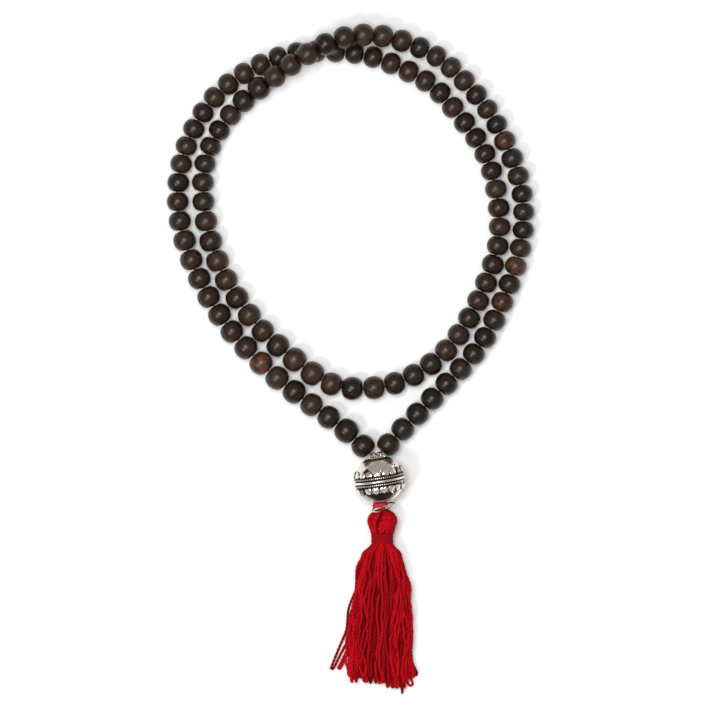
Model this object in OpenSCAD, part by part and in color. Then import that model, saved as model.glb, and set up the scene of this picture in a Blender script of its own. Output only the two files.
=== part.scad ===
// Prayer bead strand laid flat as a double loop. It has turned wooden beads on one cord,
// a silver guru bead that both cord ends pass through, and a yarn tassel below it.
// +X is right, +Y runs from the tassel to the far end of the loop, and Z = 0 is the table.

/* [Wooden beads] */
// Diameter of a bead whose length is bead_length
bead_d = 8.3; // [8.1:0.1:8.4]
// Length of a standard bead along the cord
bead_length = 7; // [6.9:0.1:7.2]
// Extra diameter for each millimetre that a bead is longer
bead_growth = 0.6; // [0.5:0.05:0.65]
// Diameter of the hole through every bead
bore_d = 1.5; // [1.3:0.1:1.6]
// Radius of the domed face at each end of a bead
end_dome_r = 4.7; // [4.6:0.1:5]
// Free space between two beads, measured on the cord
bead_gap = 0.15; // [0.12:0.01:0.2]

/* [Cord] */
// Diameter of the cord inside the beads
cord_d = 1; // [0.7:0.1:1]

/* [Guru bead] */
// Radius of the hollow silver ball
guru_r = 9.2; // [9.1:0.1:9.3]
// Wall thickness of the ball
guru_wall = 0.8; // [0.5:0.1:0.9]
// How far the ball's axis leans to the left, in degrees
guru_lean = 8.5; // [5:0.5:10]
// How far the ball's upper end is raised, in degrees
guru_rise = 3; // [0:0.5:4]
// Number of heart-shaped granules in each row
heart_count = 18; // [14:1:18]

/* [Tassel] */
// Radius of the rounded head
head_r = 5.4; // [5.2:0.1:5.5]
// Radius of the binding that closes the neck
neck_r = 4.2; // [4:0.1:4.3]
// Length of the binding
neck_length = 3.9; // [3.6:0.1:4]

/* [Hidden] */
$fn = 48;
bead_count = 108;
row_count = 12;
cord_sides = 8;
skirt_sides = 32;
// Each length of cord stops this far short of the middle of a gap between beads
cord_cut = 0.09;

// The cord's route: [gap number, x, y, rise above the table course].
// Gap 0 is before bead 1, and gap 108 is after bead 108.
route = [
  [0, 7.5, -36.5, 0.6],
  [1, 2, -30.5, 0],
  [2, -5, -25, 0],
  [4, -18, -15.5, 0],
  [6, -31, -5, 0],
  [9, -47.5, 13, 0],
  [12, -59, 33.5, 0],
  [15, -65.4, 55.5, 0],
  [18, -63.5, 77, 0],
  [21, -54, 96, 0],
  [23, -43.5, 106, 0],
  [26, -24, 115, 0],
  [29, -2, 116, 0],
  [31, 12, 113, 0],
  [34, 31.5, 103, 0],
  [36, 41, 92, 0],
  [38, 49.5, 80.5, 0],
  [40, 54.5, 67.5, 0],
  [43, 56.5, 46, 0],
  [46, 50, 25, 0],
  [49, 38.9, 5.6, 0],
  [51, 27.4, -4.8, 0],
  [53, 13, -11, 0],
  [55, -3.5, -11.5, 0],
  [56, -11, -8.5, 0],
  [58, -24.5, 2, 0],
  [60, -36, 13, 0],
  [63, -49, 33, 0],
  [66, -55.5, 55.5, 0],
  [69, -54.5, 77, 0],
  [72, -43.3, 94.8, 0.1],
  [74, -31.5, 104.3, 4.1],
  [76, -19.5, 112.7, 7.8],
  [78, -6, 120.2, 7.8],
  [80, 8.5, 122.5, 3.2],
  [82, 23, 119, 0],
  [84, 35.5, 112.5, 0],
  [87, 50, 97, 0],
  [89, 57, 85.5, 0],
  [92, 64.6, 65.5, 0],
  [95, 65.2, 45, 0],
  [98, 59, 24.5, 0],
  [101, 49.1, 4.4, 0],
  [104, 33.7, -12.7, 0],
  [107, 17, -30, 0],
  [108, 11.8, -35.8, 0.6]
];

// Skirt outline: [distance below the binding, middle x, half width, lowest z, highest z]
skirt_profile = [
  [0, 12, 4, 0.9, 9],
  [1, 12, 5, 0.7, 9.2],
  [3.4, 11.8, 7.2, 0.3, 9.2],
  [7, 11.6, 8.2, 0, 8.8],
  [13.4, 11.6, 9.8, 0, 8],
  [21.4, 11.9, 11, 0, 7.2],
  [29.4, 11.5, 12, 0, 6.6],
  [37.4, 10.9, 12.5, 0, 6],
  [44.4, 10.6, 13, 0, 5.4],
  [49.4, 11, 13, 0, 4.8],
  [53.4, 12, 11.5, 0, 4],
  [55.8, 14, 8, 0.3, 3]
];

// Cord route worked out from the table above
last = len(route) - 1;
function place(k) = [route[k][1], route[k][2], route[k][3]];
function span(a, b) = route[b][0] - route[a][0];
function slope(k) = let(a = max(k - 1, 0), b = min(k + 1, last)) (place(b) - place(a)) / span(a, b);
function leg_of(gap, k = 0) = k == last - 1 || gap <= route[k + 1][0] ? k : leg_of(gap, k + 1);
function along(k, t) =
  (2 * pow(t, 3) - 3 * pow(t, 2) + 1) * place(k)
  + (pow(t, 3) - 2 * pow(t, 2) + t) * span(k, k + 1) * slope(k)
  + (3 * pow(t, 2) - 2 * pow(t, 3)) * place(k + 1)
  + (pow(t, 3) - pow(t, 2)) * span(k, k + 1) * slope(k + 1);
function route_at(gap) = let(k = leg_of(gap)) along(k, (gap - route[k][0]) / span(k, k + 1));

// Every bead is as long as its stretch of cord allows, and rests on the table
function radius_for(len) = (bead_d + bead_growth * (len - bead_length)) / 2;
flat = [for (i = [0:bead_count]) route_at(i)];
flat_r = [for (i = [1:bead_count]) radius_for(norm(flat[i] - flat[i - 1]) - bead_gap)];
function course(i) = max(flat_r[max(i - 1, 0)], flat_r[min(i, bead_count - 1)]);
gaps = [for (i = [0:bead_count]) [flat[i][0], flat[i][1], max(flat[i][2], 0) + course(i)]];

// Guru bead, measured along its own axis from its centre
band_r = guru_r + 0.45;
seam_z = 0;
wire_r = 0.25;
guru_centre = [11, -46.1, band_r + 0.07];
top_cut = 8.3;
bottom_cut = -7.9;
top_hole_r = 2.4;
bottom_hole_r = 3.4;
collar_top = 9.3;
mouth = 9.6;
knot_r = 0.7;
wrap_x = -1.2;
wrap_z = -9.45;
ring_r = 4.4;

// Tassel
tassel_pivot = [12.4, -55.5, 9.5];
head_centre = [12, -63, head_r];
head_cut = 3.7;
neck_start = head_centre[1] - head_cut - 0.01;
skirt_start = neck_start - neck_length - 0.01;

// Beads on either side of the guru bead that are separate pieces
single_beads = [1, 2, 3, 4, 5, 104, 105, 106, 107, 108];

// The beads of one row lie side by side, one on each of the four runs of the cord
function row_beads(k) = [9 + k, 60 + k, 50 - k, 102 - k];

// ---- Beads and cord ----

// Moves the Z axis onto the cord between two points, with its middle at the origin
module on_cord(a, b) {
  d = b - a;
  translate((a + b) / 2)
    rotate([0, acos(d[2] / norm(d)), atan2(d[1], d[0])])
      children();
}

// A turned bead: a ball with a flatter dome at each end and a hole along the cord
module bead(i) {
  len = norm(gaps[i] - gaps[i - 1]) - bead_gap;
  shift = end_dome_r - len / 2;
  color([0.19, 0.15, 0.13])
    on_cord(gaps[i - 1], gaps[i])
      difference() {
        intersection() {
          sphere(r = radius_for(len));
          translate([0, 0, -shift]) sphere(r = end_dome_r);
          translate([0, 0, shift]) sphere(r = end_dome_r);
        }
        cylinder(d = bore_d, h = len + 2, center = true);
      }
}

module beads_between(first, final) {
  for (i = [first:final]) bead(i);
}

module beads_lower() {
  beads_between(6, 9);
  beads_between(50, 60);
  beads_between(102, 103);
}

module beads_row(k) {
  for (i = row_beads(k)) bead(i);
}

module beads_top() {
  beads_between(22, 37);
  beads_between(73, 89);
}

// A straight length of cord inside one bead, cut short so that it clears the next one
module cord_in_bead(i) {
  length = norm(gaps[i] - gaps[i - 1]) - 2 * cord_cut;
  color([0.62, 0.06, 0.1])
    on_cord(gaps[i - 1], gaps[i])
      cylinder(d = cord_d, h = length, center = true);
}

module cord_row(k) {
  for (i = row_beads(k)) cord_in_bead(i);
}

// A closed tube swept along a list of points, with a mitred ring at each bend
function unit(v) = v / norm(v);
function heading(path, i) =
  unit(
    (i < len(path) - 1 ? unit(path[i + 1] - path[i]) : [0, 0, 0])
    + (i > 0 ? unit(path[i] - path[i - 1]) : [0, 0, 0])
  );
function ring(path, i, r) =
  let(
    t = heading(path, i),
    side = unit(cross(t, [0, 0, 1])),
    up = cross(t, side)
  )
  [
    for (k = [0:cord_sides - 1])
      path[i] + r * (cos(360 * k / cord_sides) * side + sin(360 * k / cord_sides) * up)
  ];

module swept_cord(path) {
  n = cord_sides;
  rings = len(path);
  color([0.62, 0.06, 0.1])
    polyhedron(
      points = [for (i = [0:rings - 1]) each ring(path, i, cord_d / 2)],
      faces = concat(
        [[for (k = [0:n - 1]) k]],
        [
          for (i = [0:rings - 2], k = [0:n - 1])
            [i * n + k, (i + 1) * n + k, (i + 1) * n + (k + 1) % n, i * n + (k + 1) % n]
        ],
        [[for (k = [n - 1:-1:0]) (rings - 1) * n + k]]
      ),
      convexity = 6
    );
}

// The stretch of route between two gaps, cut short at both ends
function stretch(first, final) =
  let(
    a = gaps[first] + cord_cut * unit(gaps[first + 1] - gaps[first]),
    b = gaps[final] + cord_cut * unit(gaps[final - 1] - gaps[final])
  )
  concat([a], final - first > 1 ? [for (i = [first + 1:final - 1]) gaps[i]] : [], [b]);

module cord_lower() {
  swept_cord(stretch(3, 9));
  swept_cord(stretch(49, 60));
  swept_cord(stretch(101, 106));
}

module cord_top() {
  swept_cord(stretch(21, 37));
  swept_cord(stretch(72, 89));
}

module cord_front() {
  swept_cord(stretch(1, 3));
  cord_in_bead(107);
}

// Both cord ends leave their beads and climb to the mouth of the guru bead
module cord_yoke() {
  knot = knot_point();
  swept_cord([
    gaps[1] + cord_cut * unit(gaps[0] - gaps[1]),
    gaps[0],
    [8.4, -36.2, 6.6],
    knot + [-0.6, 0.7, -1.4]
  ]);
  swept_cord([
    gaps[107] + cord_cut * unit(gaps[108] - gaps[107]),
    gaps[108],
    [11.2, -35.9, 6.8],
    knot + [0.7, 0.7, -1.4]
  ]);
}

// ---- Guru bead ----

// Guru frame: +Z runs along the ball's axis towards the cord
module guru_frame() {
  translate(guru_centre) rotate([guru_rise - 90, 0, guru_lean]) children();
}

function knot_point() =
  guru_centre
  + mouth * [-sin(guru_lean) * cos(guru_rise), cos(guru_lean) * cos(guru_rise), sin(guru_rise)];

module half_shell(low, high, hole_r) {
  difference() {
    intersection() {
      sphere(r = guru_r);
      translate([0, 0, low]) cylinder(r = guru_r + 1, h = high - low);
    }
    sphere(r = guru_r - guru_wall);
    translate([0, 0, low - 1]) cylinder(r = hole_r, h = high - low + 2);
  }
}

module guru_upper_shell() {
  color("silver") guru_frame() half_shell(seam_z + 0.01, top_cut, top_hole_r);
}

module guru_lower_shell() {
  color("silver") guru_frame() half_shell(bottom_cut, seam_z - 0.01, bottom_hole_r);
}

// The ridged band that covers the seam between the two halves
module guru_band() {
  inner = guru_r + 0.01;
  ridge_r = band_r - inner;
  color("gainsboro")
    guru_frame()
      rotate_extrude() {
        translate([inner, seam_z - 0.7]) square([0.15, 1.4]);
        intersection() {
          union() {
            translate([inner, seam_z - 0.15]) circle(r = ridge_r);
            translate([inner, seam_z + 0.5]) circle(r = 0.22);
            translate([inner, seam_z - 0.6]) circle(r = 0.22);
          }
          translate([inner, seam_z - 2]) square([1, 4]);
        }
      }
}

// Twisted wire laid on the ball beside the band
module wire(z) {
  ring_at = sqrt(pow(guru_r + wire_r + 0.01, 2) - pow(z, 2));
  translate([0, 0, z]) rotate_extrude() translate([ring_at, 0]) circle(r = wire_r, $fn = 24);
}

module guru_upper_wire() {
  color("gray") guru_frame() wire(seam_z + 1.1);
}

module guru_lower_wire() {
  color("gray") guru_frame() wire(seam_z - 1.15);
}

// Heart-shaped granules soldered in a row round the ball, with their tips to one side
module heart() {
  lobe = 0.72;
  linear_extrude(0.4) {
    for (side = [-1, 1]) translate([side * 0.54, 0]) circle(r = lobe, $fn = 24);
    polygon([[-1.1, -0.42], [-1.1, 0.42], [0, 1.5], [1.1, 0.42], [1.1, -0.42], [0, -0.6]]);
  }
}

module heart_row(z, tip) {
  for (k = [0:heart_count - 1])
    rotate([0, 0, 360 * k / heart_count])
      rotate([0, -asin(z / guru_r), 0])
        translate([guru_r + 0.01, 0, 0])
          rotate([90, 0, 90]) mirror([0, tip < 0 ? 1 : 0, 0]) heart();
}

module guru_upper_hearts() {
  color("gainsboro") guru_frame() heart_row(seam_z + 2.4, 1);
}

module guru_lower_hearts() {
  color("gainsboro") guru_frame() heart_row(seam_z - 2.5, -1);
}

// Petalled collar round the cord's hole
module guru_top_collar() {
  petals = 8;
  color("silver")
    guru_frame()
      difference() {
        union() {
          translate([0, 0, top_cut]) cylinder(r = 3, h = collar_top - top_cut - 0.2);
          for (k = [0:petals - 1])
            rotate([0, 0, 360 * k / petals])
              translate([2.9, 0, top_cut])
                cylinder(r = 0.8, h = collar_top - top_cut - 0.4, $fn = 24);
          translate([0, 0, top_cut]) cylinder(r = 2.3, h = collar_top - top_cut);
        }
        translate([0, 0, top_cut - 1]) cylinder(r = 1.7, h = 4);
      }
}

module guru_bottom_collar() {
  color("silver")
    guru_frame()
      translate([0, 0, bottom_cut - 0.35])
        difference() {
          cylinder(r = 4.7, h = 0.35);
          translate([0, 0, -1]) cylinder(r = bottom_hole_r + 0.2, h = 3);
        }
}

// ---- Threads between the guru bead and its neighbours ----

module yoke_knot() {
  color("crimson") guru_frame() translate([0, 0, mouth]) sphere(r = knot_r);
}

// Both cord ends together, through the ball
module pendant_cord() {
  color("crimson")
    guru_frame()
      difference() {
        translate([0, 0, wrap_z + 1.1]) cylinder(r = 1, h = mouth - wrap_z - 1.1);
        translate([0, 0, mouth]) sphere(r = knot_r + 0.2);
      }
}

// Thread wound round the cord ends below the ball
module thread_wrap() {
  turn_r = 0.54;
  color("crimson")
    guru_frame()
      translate([wrap_x, 0, wrap_z]) {
        cylinder(r = 2.5, h = 2, center = true);
        for (z = [-0.5, 0.5])
          translate([0, 0, z]) rotate_extrude() translate([2.5, 0]) circle(r = turn_r, $fn = 24);
      }
}

module rim_ring() {
  color("silver")
    translate([12.5, -56.6, 9.2])
      rotate([-76, 0, 18])
        rotate_extrude() translate([ring_r, 0]) circle(r = 0.3, $fn = 24);
}

// ---- Tassel ----

module tassel_loop() {
  color("crimson")
    translate(tassel_pivot)
      rotate([118, 0, 0])
        translate([0, 0, 2.05]) cylinder(r = 0.6, h = 0.5);
}

// Yarn gathered over a round head, cut flat where the binding starts
module tassel_head() {
  color("crimson")
    translate(head_centre)
      rotate([90, 0, 0])
        rotate_extrude()
          intersection() {
            circle(r = head_r);
            translate([0, -head_r]) square([head_r, head_r + head_cut]);
          }
}

module tassel_neck() {
  color("firebrick")
    translate([head_centre[0], neck_start, head_r - 0.6])
      rotate([90, 0, 0]) cylinder(r = neck_r, h = neck_length);
}

// The hanging yarn as one closed soft solid
module tassel_skirt() {
  n = skirt_sides;
  rows = len(skirt_profile);
  function corner(s, a) =
    let(round = 0.8, c = cos(a), v = sin(a))
    [
      s[1] + s[2] * sign(c) * pow(abs(c), round),
      skirt_start - s[0],
      (s[3] + s[4]) / 2 + (s[4] - s[3]) / 2 * sign(v) * pow(abs(v), round)
    ];
  color("crimson")
    polyhedron(
      points = [for (s = skirt_profile, k = [0:n - 1]) corner(s, 360 * k / n)],
      faces = concat(
        [[for (k = [0:n - 1]) k]],
        [
          for (i = [0:rows - 2], k = [0:n - 1])
            [i * n + k, (i + 1) * n + k, (i + 1) * n + (k + 1) % n, i * n + (k + 1) % n]
        ],
        [[for (k = [n - 1:-1:0]) (rows - 1) * n + k]]
      ),
      convexity = 4
    );
}

// ---- Nodes ----

beads_lower();
cord_lower();
for (k = [1:row_count]) {
  beads_row(k);
  cord_row(k);
}
beads_top();
cord_top();
cord_front();
cord_yoke();
for (i = single_beads) {
  bead(i);
}
yoke_knot();
pendant_cord();
thread_wrap();
rim_ring();
guru_upper_shell();
guru_lower_shell();
guru_band();
guru_upper_wire();
guru_lower_wire();
guru_upper_hearts();
guru_lower_hearts();
guru_top_collar();
guru_bottom_collar();
tassel_loop();
tassel_head();
tassel_neck();
tassel_skirt();
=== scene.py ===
import math
import random

import bmesh
import bpy
import numpy as np
from mathutils import Matrix, Vector


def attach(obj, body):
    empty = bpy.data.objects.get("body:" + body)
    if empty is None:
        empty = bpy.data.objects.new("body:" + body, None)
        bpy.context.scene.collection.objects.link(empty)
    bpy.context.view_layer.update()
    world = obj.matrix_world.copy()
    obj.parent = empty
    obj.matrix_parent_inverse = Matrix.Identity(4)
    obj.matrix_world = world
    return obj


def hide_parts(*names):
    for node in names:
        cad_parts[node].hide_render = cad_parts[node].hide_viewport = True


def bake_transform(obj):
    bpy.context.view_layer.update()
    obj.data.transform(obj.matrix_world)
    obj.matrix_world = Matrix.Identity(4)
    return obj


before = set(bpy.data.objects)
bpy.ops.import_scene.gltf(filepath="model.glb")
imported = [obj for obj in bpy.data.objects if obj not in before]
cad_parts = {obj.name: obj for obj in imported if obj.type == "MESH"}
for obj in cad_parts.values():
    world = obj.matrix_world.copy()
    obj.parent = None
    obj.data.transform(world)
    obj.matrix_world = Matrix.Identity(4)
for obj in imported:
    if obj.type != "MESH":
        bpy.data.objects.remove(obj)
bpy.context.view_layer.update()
MM = 0.001
UP = np.array([0.0, 0.0, 1.0])
rng = random.Random(108)

# ---- Camera, light and floor ----

VIEW_CENTRE = (0.0036, -0.0009)
VIEW_WIDTH = 0.2736
CAMERA_HEIGHT = 2.5
SENSOR_WIDTH = 36
FLOOR_DROP = 0.05 * MM


def set_the_table():
    """A white floor, a large soft light over the strand, a small one at the left, and the camera straight above."""
    bpy.ops.object.select_all(action="DESELECT")
    bpy.ops.mesh.primitive_plane_add(size=6, location=(0, 0, -FLOOR_DROP))
    floor = bpy.context.object
    floor.name = "floor"
    floor.data.materials.append(floor_paint())

    camera = bpy.data.cameras.new("camera")
    camera.sensor_width = SENSOR_WIDTH
    camera.lens = SENSOR_WIDTH * CAMERA_HEIGHT / VIEW_WIDTH
    camera.clip_start = 0.01
    stand = bpy.data.objects.new("camera", camera)
    stand.location = (*VIEW_CENTRE, CAMERA_HEIGHT)
    bpy.context.scene.collection.objects.link(stand)
    bpy.context.scene.camera = stand

    softbox("top_light", (-0.12, 0.12, 1.3), 0.55, 11.2)
    softbox("left_light", (-0.5, -0.36, 1.0), 0.2, 3.4)

    world = bpy.data.worlds.new("studio")
    bpy.context.scene.world = world
    world.use_nodes = True
    shade = world.node_tree.nodes["Background"]
    shade.inputs["Color"].default_value = (1, 0.99, 0.98, 1)
    shade.inputs["Strength"].default_value = 0.4
    bpy.context.scene.view_settings.view_transform = "Standard"


def softbox(name, place, size, power):
    lamp = bpy.data.lights.new(name, "AREA")
    lamp.shape = "SQUARE"
    lamp.size = size
    lamp.energy = power
    holder = bpy.data.objects.new(name, lamp)
    holder.location = place
    holder.rotation_euler = (-Vector(place)).to_track_quat("-Z", "Y").to_euler()
    bpy.context.scene.collection.objects.link(holder)


# ---- Materials ----


class Graph:
    """A node tree, with a method for each kind of node that the materials use."""

    def __init__(self, tree):
        self.nodes, self.links = tree.nodes, tree.links

    def feed(self, socket, value):
        """Links an output to a socket, or sets a colour or a number on it."""
        if isinstance(value, tuple):
            socket.default_value = (*value, 1)
        elif isinstance(value, (int, float)):
            socket.default_value = value
        else:
            self.links.new(value, socket)

    def feed_all(self, sockets, values):
        for name, value in values.items():
            self.feed(sockets[name], value)

    def calc(self, kind, a, b, clamp=False):
        node = self.nodes.new("ShaderNodeMath")
        node.operation = kind
        node.use_clamp = clamp
        self.feed(node.inputs[0], a)
        self.feed(node.inputs[1], b)
        return node.outputs[0]

    def plus(self, a, b):
        return self.calc("ADD", a, b)

    def less(self, a, b):
        return self.calc("SUBTRACT", a, b)

    def weighed(self, *parts):
        """Adds up outputs, each times its weight."""
        total = None
        for value, weight in parts:
            share = self.calc("MULTIPLY", value, weight)
            total = share if total is None else self.plus(total, share)
        return total

    def sharpened(self, value, start, gain):
        """What a value has above start, times gain, kept between 0 and 1."""
        return self.calc("MULTIPLY", self.less(value, start), gain, True)

    def ramp(self, value, stops):
        """Turns a value into a colour through a few stops."""
        node = self.nodes.new("ShaderNodeValToRGB")
        bar = node.color_ramp.elements
        while len(bar) < len(stops):
            bar.new(0.5)
        for element, (place, colour) in zip(bar, stops):
            element.position = place
            element.color = (*colour, 1)
        self.feed(node.inputs["Fac"], value)
        return node.outputs["Color"]

    def noise(self, place, scale, detail=2, rough=0.5, warp=0):
        node = self.nodes.new("ShaderNodeTexNoise")
        values = {"Vector": place, "Scale": scale, "Detail": detail, "Roughness": rough, "Distortion": warp}
        self.feed_all(node.inputs, values)
        return node.outputs["Fac"]

    def stretched(self, place, scale):
        """A place with each of its three measures times a scale of its own."""
        node = self.nodes.new("ShaderNodeMapping")
        node.inputs["Scale"].default_value = scale
        self.feed(node.inputs["Vector"], place)
        return node.outputs["Vector"]

    def attribute(self, name, output="Fac"):
        node = self.nodes.new("ShaderNodeAttribute")
        node.attribute_name = name
        return node.outputs[output]

    def own_place(self):
        return self.nodes.new("ShaderNodeTexCoord").outputs["Object"]

    def blend(self, mask, a, b, kind="MIX"):
        """Blends two colours by a mask."""
        node = self.nodes.new("ShaderNodeMix")
        node.data_type = "RGBA"
        node.blend_type = kind
        mask_at, first_colour, second_colour, result = 0, 6, 7, 2
        self.feed(node.inputs[mask_at], mask)
        self.feed(node.inputs[first_colour], a)
        self.feed(node.inputs[second_colour], b)
        return node.outputs[result]

    def bump(self, height, strength, distance):
        node = self.nodes.new("ShaderNodeBump")
        self.feed_all(node.inputs, {"Height": height, "Strength": strength, "Distance": distance})
        return node.outputs["Normal"]

    def group(self, tree, colours):
        node = self.nodes.new("ShaderNodeGroup")
        node.node_tree = tree
        self.feed_all(node.inputs, colours)
        return node.outputs


def new_material(name):
    material = bpy.data.materials.new(name)
    material.use_nodes = True
    graph = Graph(material.node_tree)
    return material, graph, graph.nodes["Principled BSDF"].inputs


def new_group(name, colours, numbers):
    """A node group that takes some colours, and gives one colour and some numbers."""
    group = bpy.data.node_groups.new(name, "ShaderNodeTree")
    sockets = [(label, "INPUT", "NodeSocketColor") for label in colours]
    sockets += [("Color", "OUTPUT", "NodeSocketColor")]
    sockets += [(label, "OUTPUT", "NodeSocketFloat") for label in numbers]
    for label, way, kind in sockets:
        group.interface.new_socket(name=label, in_out=way, socket_type=kind)
    graph = Graph(group)
    return group, graph, graph.nodes.new("NodeGroupInput").outputs, graph.nodes.new("NodeGroupOutput").inputs


def floor_paint():
    material, graph, shader = new_material("white_floor")
    graph.feed_all(shader, {"Base Color": (0.93, 0.93, 0.93), "Roughness": 0.9, "Specular IOR Level": 0.1})
    return material


def dark_wood():
    """Oiled dark hardwood. The grain follows each bead's own position, kept in millimetres."""
    material, graph, shader = new_material("dark_wood")
    at = graph.attribute("bead_at", "Vector")
    tone = graph.attribute("bead_tone")
    patch = graph.attribute("bead_patch")
    grain = graph.noise(graph.stretched(at, (1, 1, 0.12)), 2.6, 5, 0.62, 0.6)
    pores = graph.noise(graph.stretched(at, (1, 1, 0.07)), 13, 3, 0.7)
    cloud = graph.noise(at, 0.33, 3, 0.55)
    figure = graph.weighed((grain, 0.55), (cloud, 0.45), (tone, 0.26))
    browns = [
        (0.3, (0.0035, 0.0018, 0.001)),
        (0.5, (0.0125, 0.0064, 0.0036)),
        (0.66, (0.026, 0.0134, 0.0074)),
        (0.84, (0.05, 0.025, 0.013)),
    ]
    spots = graph.ramp(pores, [(0.36, (0.45, 0.42, 0.4)), (0.52, (1, 1, 1))])
    colour = graph.blend(0.75, graph.ramp(figure, browns), spots, "MULTIPLY")
    stain = graph.calc("SUBTRACT", graph.noise(at, 0.42, 2), 0.38, True)
    stain = graph.calc("MULTIPLY", graph.calc("MULTIPLY", patch, stain), 5, True)
    height = graph.weighed((pores, 0.6), (grain, 0.5))
    graph.feed_all(shader, {
        "Base Color": graph.blend(stain, colour, (0.105, 0.036, 0.019)),
        "Roughness": graph.plus(graph.weighed((pores, 0.18), (tone, 0.06)), 0.18),
        "Specular IOR Level": 0.29,
        "Coat Weight": 0.05,
        "Coat Roughness": 0.3,
        "Normal": graph.bump(height, 0.35, 0.00008),
    })
    return material


def fibre_group():
    """Spun cotton: streaks of fibre along each ply, painted shade that darkens the grooves between the plies, and a
    loose fuzz.
    UV runs along the yarn in millimetres and once round it."""
    group, graph, into, out = new_group("spun_fibre", ("Light", "Deep", "Groove Shade"), ("Height",))
    uv = graph.nodes.new("ShaderNodeUVMap")
    uv.uv_map = "strand"
    fibre = graph.noise(graph.stretched(uv.outputs["UV"], (1.1, 26, 1)), 1, 3, 0.6, 0.3)
    place = graph.own_place()
    fuzz, shift = graph.noise(place, 2600), graph.noise(place, 130)
    # The yarn tone is a random tone, with painted shade on the inner skirt yarns, the sunk head yarns and the head
    # core.
    tone = graph.less(graph.attribute("yarn_tone_and_shade"), 0.5)
    mask = graph.weighed((fibre, 0.55), (fuzz, 0.25), (shift, 0.3), (tone, 0.5))
    colour = graph.blend(graph.sharpened(mask, 0.3, 1.9), into["Deep"], into["Light"])
    # Painted shade: the grooves between the plies are blended towards the groove colour.
    groove_shade = graph.weighed((graph.attribute("groove_shade"), 0.55))
    graph.feed(out["Color"], graph.blend(groove_shade, colour, into["Groove Shade"]))
    graph.feed(out["Height"], graph.weighed((fibre, 0.7), (fuzz, 0.3)))
    return group


def cotton(name, light, deep, groove_shade):
    material, graph, shader = new_material(name)
    fibre = graph.group(FIBRE, {"Light": light, "Deep": deep, "Groove Shade": groove_shade})
    graph.feed_all(shader, {
        "Base Color": fibre["Color"],
        "Roughness": 0.85,
        "Specular IOR Level": 0.1,
        "Normal": graph.bump(fibre["Height"], 0.6, 0.00012),
    })
    return material


def tarnish_group():
    """Old silver: bright where it is rubbed, near black in the recesses, with fine scratches. On the lower dome its
    mask also holds painted shade and a painted reflection.
    """
    group, graph, into, out = new_group("old_silver", ("Rubbed", "Tarnished"), ("Roughness", "Height"))
    place = graph.own_place()
    blotch = graph.noise(place, 420, 4, 0.6)
    grit = graph.noise(place, 2400, 3, 0.6)
    scratch = graph.noise(graph.stretched(place, (0.25, 3, 1.5)), 1500, 3, 0.7)
    uneven = graph.weighed((graph.less(blotch, 0.5), 0.75), (graph.less(grit, 0.5), 0.35))
    mask = graph.sharpened(graph.plus(graph.attribute("tarnish_and_shade"), uneven), 0.22, 1.7)
    graph.feed(out["Color"], graph.blend(mask, into["Rubbed"], into["Tarnished"]))
    graph.feed(out["Roughness"], graph.plus(graph.weighed((mask, 0.3), (scratch, 0.2)), 0.13))
    graph.feed(out["Height"], graph.weighed((blotch, 0.7), (scratch, 0.3)))
    return group


def silver(name, rubbed, tarnished):
    material, graph, shader = new_material(name)
    metal = graph.group(TARNISH, {"Rubbed": rubbed, "Tarnished": tarnished})
    graph.feed_all(shader, {
        "Base Color": metal["Color"],
        "Roughness": metal["Roughness"],
        "Metallic": 1,
        "Normal": graph.bump(metal["Height"], 0.25, 0.00008),
    })
    return material


FIBRE = fibre_group()
TARNISH = tarnish_group()
WOOD = dark_wood()
# Each cotton has a light and a deep fibre colour, and a groove colour that is painted shade between the plies.
TASSEL_COTTON = cotton("tassel_cotton", (0.66, 0.003, 0.012), (0.22, 0.0003, 0.002), (0.05, 0.0, 0.0003))
BINDING_COTTON = cotton("binding_cotton", (0.46, 0.004, 0.013), (0.32, 0.002, 0.006), (0.22, 0.001, 0.004))
WRAP_COTTON = cotton("wrap_cotton", (0.78, 0.055, 0.085), (0.52, 0.018, 0.035), (0.2, 0.003, 0.008))
# The cord's red is darkened as painted shade, for the shade between the beads.
CORD_COTTON_PAINTED_SHADE = cotton("cord_cotton_painted_shade", (0.30, 0.004, 0.010), (0.13, 0.001, 0.004), (0.04, 0.0, 0.001))
OLD_SILVER = silver("old_silver", (0.80, 0.72, 0.62), (0.035, 0.028, 0.022))
BRIGHT_SILVER = silver("bright_silver", (0.90, 0.84, 0.75), (0.035, 0.027, 0.02))

# ---- Route of the cord, as the frame has it ----

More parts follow.
